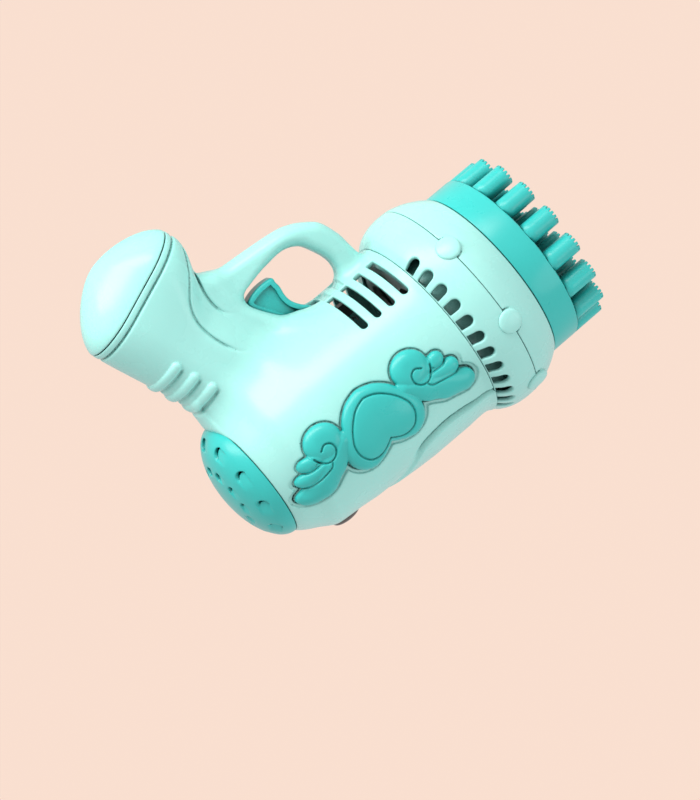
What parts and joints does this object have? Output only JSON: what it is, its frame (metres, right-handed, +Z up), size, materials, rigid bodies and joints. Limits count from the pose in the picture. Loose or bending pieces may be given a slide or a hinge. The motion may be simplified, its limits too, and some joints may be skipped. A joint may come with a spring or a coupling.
{
  "type": "bubble gun",
  "caption": "Hand-held battery bubble gun: a fan in a round barrel blows through a cluster of dipped tubes; pistol grip, trigger in a finger guard, domed battery cap.",
  "frame": {"origin": "centre of the nozzle ring's front face, on the barrel's axis", "axes": "+X forward along the barrel, the way the bubbles leave; +Z up, away from the grip; +Y the gun's left side"},
  "size_m": [0.2108, 0.1176, 0.1859],
  "materials": {
    "mint_shell": "smooth glossy injection-moulded plastic, pale mint",
    "teal_trim": "glossy injection-moulded plastic, teal",
    "dark_button": "glossy dark brown-grey plastic",
    "white_plastic": "plain moulded plastic",
    "switch_black": "black moulded plastic",
    "board_green": "solder-masked board",
    "steel": "plain bright steel",
    "contact_brass": "bare brass",
    "cell_wrap": "plain shrink wrap with a plated end",
    "wire_red": "soft wire insulation",
    "wire_black": "soft wire insulation",
    "wire_yellow": "soft wire insulation"
  },
  "bodies": {
    "housing": {"left_shell": "mint_shell", "right_shell": "mint_shell", "vent_collar": "mint_shell", "front_collar": "mint_shell", "nozzle_ring": "teal_trim", "nozzle_tubes": "teal_trim", "rear_cap": "teal_trim", "left_badge": "teal_trim", "right_badge": "teal_trim", "button_switch": "switch_black", "control_board": "board_green", "trigger_pin": "steel", "trigger_spring": "steel", "trigger_switch": "switch_black", "fan_motor": "steel", "motor_mount": "white_plastic", "motor_screws": "steel", "fan_duct": "mint_shell", "battery_holder": "white_plastic", "battery_cell_1": "cell_wrap", "battery_cell_2": "cell_wrap", "battery_cell_3": "cell_wrap", "battery_cell_4": "cell_wrap", "upper_contacts": "contact_brass", "cap_insert": "contact_brass", "shell_screws": "steel", "battery_wires": "wire_red", "motor_wires": "wire_black", "switch_wires": "wire_yellow"},
    "trigger": {"trigger": "teal_trim"},
    "trigger_plunger": {"trigger_plunger": "white_plastic"},
    "top_button": {"top_button": "dark_button", "button_plunger": "white_plastic"},
    "fan": {"fan_impeller": "white_plastic", "motor_shaft": "steel"},
    "battery_cap": {"battery_cap": "mint_shell", "cap_screw": "steel", "lower_contacts": "contact_brass"}
  },
  "joints": [
    {"name": "trigger_hinge", "type": "hinge", "parent": "housing", "child": "trigger", "pos_m": [-0.0989, 0, -0.042], "axis": [0, 1, 0], "range_deg": [0, 12], "stiffness_Nm_per_rad": 0.3, "springref_deg": -5.73, "deforming": ["trigger_spring"]},
    {"name": "trigger_plunger_slide", "type": "slide", "parent": "housing", "child": "trigger_plunger", "axis": [1, 0, 0], "range_m": [0, 0.0021]},
    {"name": "top_button_slide", "type": "slide", "parent": "housing", "child": "top_button", "axis": [0, 0, -1], "range_m": [0, 0.0015], "stiffness_N_per_m": 600, "springref_m": -0.001},
    {"name": "fan_spin", "type": "hinge", "parent": "housing", "child": "fan", "pos_m": [-0.0439, 0, 0], "axis": [1, 0, 0], "continuous": true},
    {"name": "battery_cap_slide", "type": "slide", "parent": "housing", "child": "battery_cap", "axis": [-0.3746, 0, -0.9272], "range_m": [0, 0.03]}
  ],
  "couplings": [
    {"joint": "trigger_plunger_slide", "follows": "trigger_hinge", "m_per_rad": 0.009}
  ]
}
